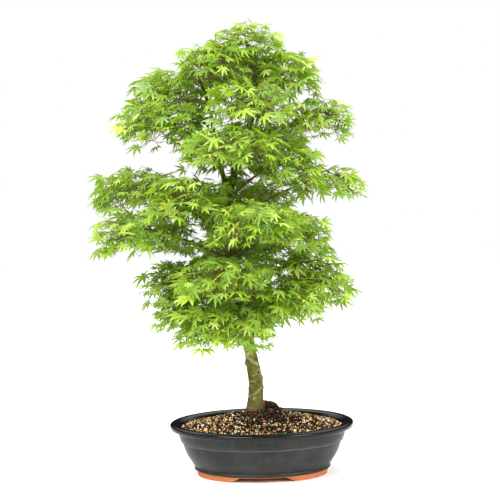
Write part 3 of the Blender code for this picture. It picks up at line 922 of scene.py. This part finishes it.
def leaf_form(rng):
    """One seven-lobed maple leaf, its stalk end at the origin, its middle lobe along +X, one unit long."""
    droop = rng.uniform(0.02, 0.26)
    fold = rng.uniform(0.25, 0.7)
    lobes = sorted({(sign * angle, length) for angle, length in LEAF_LOBES for sign in (-1, 1)})
    bm = bmesh.new()
    layer = bm.loops.layers.uv.new("leaf")
    base = bm.verts.new((0, 0, 0))

    def spot(angle, reach, across, lift):
        turn = math.radians(angle)
        x = reach * math.cos(turn) - across * math.sin(turn)
        y = reach * math.sin(turn) + across * math.cos(turn)
        return bm.verts.new((x, y, lift - droop * math.hypot(x, y) ** 2))

    notches = [spot(lobes[0][0] - 24, 0.10, 0.0, fold * 0.03)]
    for (first, first_length), (second, second_length) in zip(lobes, lobes[1:]):
        reach = NOTCH_DEPTH * min(first_length, second_length) + 0.03
        notches.append(spot((first + second) / 2, reach, 0.0, fold * 0.06))
    notches.append(spot(lobes[-1][0] + 24, 0.10, 0.0, fold * 0.03))
    for index, (angle, length) in enumerate(lobes):
        length *= rng.uniform(0.93, 1.07)
        angle += rng.uniform(-3.5, 3.5)
        sway = rng.uniform(-0.05, 0.05)
        width = LOBE_HALF_WIDTH * (0.55 + 0.45 * length)
        dip = rng.uniform(-0.05, 0.03)
        near, far = LOBE_MIDDLE * length, LOBE_OUTER * length
        middle = spot(angle, near, sway * 0.2, 0.0)
        outer = spot(angle, far, sway * 0.6, dip * 0.5)
        tip = spot(angle, length, sway, dip)
        for sign, notch in ((-1, notches[index]), (1, notches[index + 1])):
            wide = spot(angle, near, sway * 0.2 + sign * width, fold * width)
            slim = spot(angle, far, sway * 0.6 + sign * width * 0.52, fold * width * 0.5 + dip * 0.5)
            for corners in ((base, notch, wide, middle), (middle, wide, slim, outer), (outer, slim, tip)):
                bm.faces.new(corners if sign < 0 else corners[::-1])
    for face in bm.faces:
        for loop in face.loops:
            loop[layer].uv = (loop.vert.co.x * 0.48 + 0.5, loop.vert.co.y * 0.48 + 0.5)
    return mesh_from(bm, "leaf")


def leaf_tree():
    """A leaf of some form, size and turn on each point."""
    inputs = {"Points": "Geometry", "Leaves": "Collection", "Length": "Float", "Material": "Material"}
    group, given, end = new_group("Leaf Spray", inputs, {"Spray": "Geometry"}, "GeometryNodeTree")
    points = grown(group, "MeshToPoints", {"Mesh": given["Points"]})
    size = maths(group, "MULTIPLY", named(group, "size", "FLOAT"), given["Length"])
    turn = named(group, "turn", "QUATERNION")
    form = named(group, "form", "INT")
    spray = placed_forms(group, points, given["Leaves"], form, turn, size, given["Material"])
    feed(group, end, {"Spray": spray})
    return group


def make_veins():
    """Mid-veins of the lobes, from a leaf's own map."""
    outputs = {"Vein": "Float", "Reach": "Float"}
    group, given, end = new_group("Leaf Veins", {"Leaf Map": "Vector"}, outputs)
    local = vector_maths(group, "SUBTRACT", given["Leaf Map"], (0.5, 0.5, 0.0))
    parts = separated(group, local)
    angle = maths(group, "ABSOLUTE", maths(group, "ARCTAN2", parts["Y"], parts["X"]))
    reach = vector_maths(group, "LENGTH", local)
    lobe = maths(group, "DIVIDE", angle, math.radians(38.5))
    off = maths(group, "ABSOLUTE", maths(group, "SUBTRACT", lobe, maths(group, "ROUND", lobe)))
    across = maths(group, "MULTIPLY", off, reach)
    feed(group, end, {
        "Vein": mapped(group, across, 0.013, 0.004),
        "Reach": mapped(group, reach, 0.05, 0.45),
    })
    return group


def leaf_finish():
    """Green from dark to lime by leaf, with painted light in each leaf's tone, paler to the tips and along
    the veins, with light coming through.
    """
    mix = Finish("maple_leaf")
    tree = mix.tree
    leaf_map = add_node(tree, "ShaderNodeUVMap", uv_map="leaf").outputs[0]
    veins = add_node(tree, "ShaderNodeGroup", {"Leaf Map": leaf_map}, node_tree=make_veins()).outputs
    patches = mix.mottle(150.0, 0.3, 0.7)
    tone = mix.added(mix.attribute("tone"), mix.times(mix.less(patches, 0.5), 0.30))
    tone = mix.added(tone, mix.times(veins["Reach"], 0.10), clamp=True)
    green = mix.ramped(tone, LEAF_TINTS)
    green = mix.over(green, mix.attribute("cool"), 0.6, COOL_GREEN)
    green = mix.over(green, mix.attribute("warm"), 0.75, WILTED_YELLOW)
    green = mix.over(green, veins["Vein"], 0.55, VEIN_GREEN)
    through = add_node(tree, "ShaderNodeBsdfTranslucent", {"Color": mix.mixed(0.35, green, GLOW_GREEN)})
    inputs = {0: LEAF_THROUGH, 1: mix.shader.outputs[0], 2: through.outputs[0]}
    blend = add_node(tree, "ShaderNodeMixShader", inputs)
    feed(tree, tree.nodes["Material Output"], {"Surface": blend.outputs[0]})
    height = mix.added(veins["Vein"], mix.times(mix.grain(700.0), 0.5))
    return mix.done({
        "Base Color": green,
        "Roughness": mix.ranged(patches, 0.38, 0.52),
        "Specular IOR Level": 0.45,
        "Normal": mix.bumped(height, 0.3, 0.5),
    })


def twig_finish():
    mix = Finish("twig_bark")
    tint = mix.ramped(mix.attribute("youth"), TWIG_TINTS)
    return mix.done({
        "Base Color": mix.over(tint, mix.mottle(120.0, 0.3, 0.7), 0.45, TWIG_PATCH),
        "Roughness": 0.6,
        "Normal": mix.bumped(mix.grain(900.0), 0.3, 0.5),
    })


def twig_tree():
    """Tapered round wood along each chain of points."""
    inputs = {"Chains": "Geometry", "Resolution": "Int", "Sides": "Int", "Material": "Material"}
    group, given, end = new_group("Twig Growth", inputs, {"Wood": "Geometry"}, "GeometryNodeTree")
    radius = named(group, "radius", "FLOAT")
    curve = grown(group, "MeshToCurve", {"Mesh": given["Chains"]})
    curve = grown(group, "CurveSplineType", {"Curve": curve}, spline_type="CATMULL_ROM")
    curve = grown(group, "SetSplineResolution", {"Geometry": curve, "Resolution": given["Resolution"]})
    curve = grown(group, "SetCurveRadius", {"Curve": curve, "Radius": radius})
    ring = grown(group, "CurvePrimitiveCircle", {"Resolution": given["Sides"], "Radius": 1.0})
    inputs = {"Curve": curve, "Profile Curve": ring, "Scale": radius, "Fill Caps": True}
    wood = grown(group, "CurveToMesh", inputs)
    feed(group, end, {"Wood": painted(group, wood, given["Material"])})
    return group


# --- how the sprays grow ---


def branch_line(node, trunk_surface):
    """A branch's centre line and radii, from the trunk outwards, worked out from its CAD solid."""
    spots = vertex_array(solid(node))
    centred = spots - spots.mean(0)
    reach = centred @ np.linalg.svd(centred, full_matrices=False)[2][0]
    ends = (spots[reach.argmin()], spots[reach.argmax()])
    gaps = [trunk_surface.find_nearest(Vector(end))[3] for end in ends]
    if gaps[1] < gaps[0]:
        reach = -reach
    share = (reach - reach.min()) / (reach.max() - reach.min())
    fit = polyfit(share, spots, 4)
    stations = np.linspace(0.0, 1.0, BRANCH_STATIONS)
    line = polyval(stations, fit).T
    start, slope = polyfit(share, norm(spots - polyval(share, fit).T, axis=1), 1)
    radii = np.maximum(start + slope * stations, 1.2 * MM)
    line = np.vstack((line[0] + unit(line[0] - line[1]) * BRANCH_INTO_TRUNK, line))
    radii = np.concatenate(([radii[0] * 1.5], radii))
    radii[1] *= 1.15
    return line, radii


def apex_line():
    """The last of the trunk, as the wood that carries the top spray."""
    spots = vertex_array(solid("trunk"))
    top = spots[spots[:, 2].argmax()]
    near = spots[(spots[:, 2] > top[2] - 0.075) & (np.hypot(*(spots[:, :2] - top[:2]).T) < 0.03)]
    heights = np.linspace(top[2] - 0.06, top[2] + 0.004, 6)
    middle = polyval(heights, polyfit(near[:, 2], near[:, :2], 2)).T
    return np.column_stack((middle, heights)), np.linspace(2.6, 1.4, 6) * MM


def inside_tree(spot):
    """Whether a leaf base is far enough inside the tree's own outline for its leaf to keep near it."""
    low = np.array(CAD_LOW) + LEAF_MARGIN
    high = np.array(CAD_HIGH) - LEAF_MARGIN
    return bool(np.all(spot > low) and np.all(spot[:2] < high[:2]))


def leaf_places(node, line, rng):
    """Leaf bases over a spray's pad and on shoots along its branch, none too close to another."""
    pad = surface_of(solid(node))
    low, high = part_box(node)
    middle = np.array(((low.x + high.x) / 2, (low.y + high.y) / 2))
    half = np.array(((high.x - low.x) / 2, (high.y - low.y) / 2))
    found = []

    def is_free(spot, flatness):
        gaps = (norm((spot - other) * (1, 1, flatness)) for other, _ in found)
        return inside_tree(spot) and all(gap > LEAF_SPACING for gap in gaps)

    for _ in range(LEAF_TRIES):
        flat = middle + rng.uniform(-1, 1, 2) * half
        hit = pad.ray_cast(Vector((*flat, high.z + 0.01)), Vector((0, 0, -1)))[0]
        lift = float(np.clip(rng.normal(0.0, 0.9), -1.7, 1.3)) * min(1.0, half.min() / WIDE_SPRAY)
        if hit is None:
            continue
        edge = min(1.0, float(norm((flat - middle) / half)))
        spot = np.array((*flat, hit.z + (lift * PAD_STRAY - PAD_SINK - EDGE_HANG * edge**2) * MM))
        if is_free(spot, 0.8):
            found.append((spot, edge))
    for _ in range(int(norm(line[-1] - line[1]) / SHOOT_STEP)):
        station = rng.uniform(1.8, len(line) - 2.0)
        part = station - int(station)
        centre = line[int(station)] * (1 - part) + line[int(station) + 1] * part
        away = rng.normal(0, 1, 3)
        spot = centre + unit(away) * rng.uniform(*SHOOT_REACH) * (1, 1, 0.9)
        if is_free(spot, 1.0):
            found.append((spot, 0.3))
    return found, middle


def join_twigs(nodes, roots):
    """Join each twig node to the branch by a short way: parents, places on the branch, and the order."""
    count = len(nodes)
    parent = np.full(count, -1)
    gap = norm(nodes[:, None, :] - roots[None], axis=2)
    way = gap.min(1)
    cost = way.copy()
    done = np.zeros(count, bool)
    order = []
    for _ in range(count):
        pick = np.where(done, np.inf, cost).argmin()
        done[pick] = True
        order.append(pick)
        steps = norm(nodes - nodes[pick], axis=1)
        offered = steps + TWIG_WAY_SHARE * way[pick]
        better = (offered < cost) & ~done
        cost[better] = offered[better]
        way[better] = way[pick] + steps[better]
        parent[better] = pick
    return parent, gap.argmin(1), order


def grow_twigs(nodes, line, rng):
    """Twigs from the branch to each twig node, as chains of points with radii."""
    roots = line[2:]
    parent, root_of, order = join_twigs(nodes, roots)
    load = np.ones(len(nodes))
    children = [[] for _ in nodes]
    for pick in reversed(order):
        if parent[pick] >= 0:
            load[parent[pick]] += load[pick]
    for pick in order:
        if parent[pick] >= 0:
            children[parent[pick]].append(pick)
    radius = TWIG_RADIUS * load**TWIG_LOAD_POWER
    chains = []
    starts = [(pick, roots[root_of[pick]], radius[pick] * 1.25) for pick in order if parent[pick] < 0]
    while starts:
        current, origin, root_radius = starts.pop(0)
        chain = [(origin, root_radius)]
        while True:
            before, before_radius = chain[-1]
            sway = rng.normal(0, TWIG_BEND, 3) * norm(nodes[current] - before)
            chain.append(((before + nodes[current]) / 2 + sway, (before_radius + radius[current]) / 2))
            chain.append((nodes[current], radius[current]))
            if not children[current]:
                break
            heirs = sorted(children[current], key=lambda child: -load[child])
            starts += [(heir, nodes[current], radius[heir] * 1.2) for heir in heirs[1:]]
            current = heirs[0]
        chains.append(chain)
    return chains


def chain_mesh(chains, name):
    """Chains of (spot, radius, youth) as edges for the wood to follow."""
    points = [point for chain in chains for point in chain]
    edges = []
    start = 0
    for chain in chains:
        edges += [(step, step + 1) for step in range(start, start + len(chain) - 1)]
        start += len(chain)
    mesh = bpy.data.meshes.new(name)
    mesh.from_pydata([tuple(spot) for spot, _, _ in points], edges, [])
    store(mesh, "radius", [radius for _, radius, _ in points])
    store(mesh, "youth", [youth for _, _, youth in points])
    return mesh


def unit(vector):
    return vector / max(norm(vector), 1e-9)


def leaf_turn(outward, pitch, yaw, roll):
    """The turn that points a leaf outwards, tips it down by pitch and rolls it about its middle lobe."""
    heading = Matrix.Rotation(math.atan2(outward[1], outward[0]) + yaw, 3, "Z")
    return (heading @ Matrix.Rotation(pitch, 3, "Y") @ Matrix.Rotation(roll, 3, "X")).to_quaternion()


def sometimes(rng, chance, low, high):
    return rng.uniform(low, high) if rng.uniform() < chance else 0.0


def make_leaves(name, found, middle, fork, tools, rng):
    """A spray's leaves, pointing outwards from the branch; gives each leaf's stalk."""
    rows = []
    for spot, edge in found:
        outward = 0.55 * unit(spot[:2] - fork) + 0.75 * edge * unit(spot[:2] - middle)
        outward = unit(outward + rng.normal(0, 0.12, 2))
        stalk = np.array((*outward * rng.uniform(8, 14), rng.uniform(-2, 9))) * MM
        pitch = math.radians(6 + 15 * edge**2 + rng.normal(0, 20))
        yaw = math.radians(rng.normal(0, 38))
        turn = leaf_turn(outward, pitch, yaw, math.radians(rng.normal(0, 27)))
        # Painted light: each leaf's tone is lighter at the pad's edge and higher in the tree, on top of its
        # random share.
        tone = 0.42 + 0.12 * edge**2 + rng.normal(0, 0.22) + 0.10 * (spot[2] / CAD_HIGH.z - 0.6)
        warm = sometimes(rng, 0.015, 0.2, 0.5)
        rows.append((stalk, turn, tone, warm, sometimes(rng, 0.16, 0.2, 0.8)))
    stalks, turns, tones_with_painted_light, warms, cools = zip(*rows)
    count = len(found)
    holder = bpy.data.meshes.new(f"leaves_{name}")
    holder.from_pydata([tuple(spot) for spot, _ in found], [], [])
    store(holder, "turn", [value for turn in turns for value in turn], "QUATERNION")
    store(holder, "size", np.clip(np.exp(rng.normal(0.0, 0.28, count)), 0.5, 1.6))
    store(holder, "form", rng.integers(0, LEAF_FORMS, count), "INT")
    store(holder, "tile", np.arange(count), "INT")
    store(holder, "tone", np.clip(tones_with_painted_light, 0.02, 0.98))
    store(holder, "warm", warms)
    store(holder, "cool", cools)
    spray = new_object(f"leaf_spray_{name}", holder)
    inputs = {"Leaves": tools["leaves"], "Length": LEAF_LENGTH, "Material": tools["leaf_finish"]}
    grow(spray, tools["leaf_tree"], inputs)
    add_tiles(spray.data, "leaf", 0.03)
    make_piece(spray, None, "leaf_green", f"leaves_{name}")
    return stalks


def make_spray(name, seed, tools):
    """A spray's leaves, and the branch with the twigs and stalks that carry them."""
    rng = np.random.default_rng(seed)
    branch = f"branch_{name}"
    has_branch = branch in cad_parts
    line, radii = branch_line(branch, tools["trunk"]) if has_branch else apex_line()
    found, middle = leaf_places(f"leaves_{name}", line, rng)
    stalks = make_leaves(name, found, middle, line[1][:2], tools, rng)
    nodes = np.array([spot - stalk for (spot, _), stalk in zip(found, stalks)])
    wood = [[(spot, radius * BRANCH_THINNED, 0.15) for spot, radius in zip(line, radii)]]
    for chain in grow_twigs(nodes, line, rng):
        wood.append([(spot, radius, min(0.9, 0.75 - 0.12 * (radius / MM - 0.5))) for spot, radius in chain])
    for (spot, _), node in zip(found, nodes):
        bend = (spot + node) / 2 + np.array((0, 0, 1.2 * MM))
        wood.append([(point, radius, 1.0) for point, radius in zip((node, bend, spot), STALK_RADII)])
    twigs = new_object(f"twigs_{name}", chain_mesh(wood, f"twigs_{name}"))
    grow(twigs, tools["twig_tree"], {"Resolution": 2, "Sides": 6, "Material": tools["twig_finish"]})
    twigs.data.shade_smooth()
    make_piece(twigs, None, "branch_bark", *([branch] if has_branch else []))


def make_canopy():
    rng = np.random.default_rng(5)
    tools = {
        "trunk": surface_of(solid("trunk")),
        "leaves": form_collection("leaf", [leaf_form(rng) for _ in range(LEAF_FORMS)]),
        "leaf_tree": leaf_tree(),
        "leaf_finish": leaf_finish(),
        "twig_tree": twig_tree(),
        "twig_finish": twig_finish(),
    }
    names = sorted(node[len("leaves_"):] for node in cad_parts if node.startswith("leaves_"))
    for number, name in enumerate(names):
        make_spray(name, 100 + number, tools)


# --- drain fittings ---


def screen_finish():
    mix = Finish("screen_mesh")
    worn = mix.mottle(200.0, 0.4, 0.7)
    return mix.done({
        "Base Color": mix.mixed(worn, (0.010, 0.010, 0.011), (0.028, 0.027, 0.026)),
        "Roughness": mix.ranged(worn, 0.38, 0.6),
        "Normal": mix.bumped(mix.grain(1600.0), 0.1, 0.5),
    })


def wire_finish():
    mix = Finish("clip_wire")
    dull = mix.mottle(500.0, 0.35, 0.7)
    return mix.done({
        "Base Color": mix.mixed(dull, (0.52, 0.53, 0.55), (0.72, 0.73, 0.75)),
        "Roughness": mix.ranged(dull, 0.28, 0.5),
        "Metallic": 1.0,
    })


def dress_fittings():
    plastic = screen_finish()
    wire = wire_finish()
    for side in ("left", "right"):
        for node, material in ((f"drain_screen_{side}", plastic), (f"screen_clip_{side}", wire)):
            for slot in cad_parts[node].material_slots:
                slot.material = material


# --- studio ---


def place_camera():
    data = bpy.data.cameras.new("camera")
    data.sensor_width = 36.0
    data.lens = CAMERA_LENS
    camera = new_object("camera", data)
    camera.location = POT_CENTRE + FRONT * CAMERA_DISTANCE + RIGHT * CAMERA_SIDE_STEP
    camera.location.z = CAMERA_HEIGHT
    aim = -FRONT * math.cos(CAMERA_TILT) - Vector((0, 0, math.sin(CAMERA_TILT)))
    camera.rotation_mode = "QUATERNION"
    camera.rotation_quaternion = aim.to_track_quat("-Z", "Y") @ Quaternion((0, 0, 1), CAMERA_ROLL)
    SCENE.camera = camera


def soft_light(name, side, height, distance, size, power):
    """A large area light, side degrees to the right of the camera, aimed at the middle of the tree."""
    data = bpy.data.lights.new(name, "AREA")
    data.shape = "DISK"
    data.size = size
    data.energy = power
    light = new_object(name, data)
    target = POT_CENTRE + Vector((0, 0, 0.45))
    direction = Matrix.Rotation(math.radians(side), 3, "Z") @ FRONT
    light.location = target + direction * distance + Vector((0, 0, height))
    light.rotation_mode = "QUATERNION"
    light.rotation_quaternion = (target - light.location).to_track_quat("-Z", "Y")


def light_tent():
    """A white tent that the camera sees plain, brightest overhead and dimmest low behind the tree."""
    world = bpy.data.worlds.new("studio")
    world.use_nodes = True
    tree = world.node_tree
    shown = tree.nodes["Background"]
    feed(tree, shown, {"Color": WHITE})
    direction = add_node(tree, "ShaderNodeTexCoord").outputs["Generated"]
    toward = vector_maths(tree, "DOT_PRODUCT", direction, FRONT)
    above = mapped(tree, separated(tree, direction)["Z"], 0.15, 0.95)
    before = mapped(tree, toward, -0.6, 0.7, WORLD_BEHIND, WORLD_FRONT)
    strength = mapped(tree, above, 0.0, 1.0, before, WORLD_TOP)
    lit = add_node(tree, "ShaderNodeBackground", {"Color": WHITE, "Strength": strength})
    seen = add_node(tree, "ShaderNodeLightPath").outputs["Is Camera Ray"]
    both = add_node(tree, "ShaderNodeMixShader", {0: seen, 1: lit.outputs[0], 2: shown.outputs[0]})
    feed(tree, tree.nodes["World Output"], {"Surface": both.outputs[0]})
    SCENE.world = world


def build_studio():
    light_tent()
    SCENE.view_settings.view_transform = "Standard"
    bm = bmesh.new()
    bmesh.ops.create_circle(bm, cap_ends=True, segments=96, radius=14.0)
    floor = new_object("floor", mesh_from(bm, "floor"))
    paper = Finish("floor_paper").done({"Base Color": (0.97, 0.97, 0.97, 1.0), "Roughness": 0.9})
    floor.data.materials.append(paper)
    soft_light("key_light", -35, 1.5, 1.6, 1.3, 60)
    soft_light("fill_light", 42, 0.9, 2.2, 1.2, 38)


place_camera()
build_studio()
make_pot()
make_soil()
make_trunk()
make_canopy()
dress_fittings()
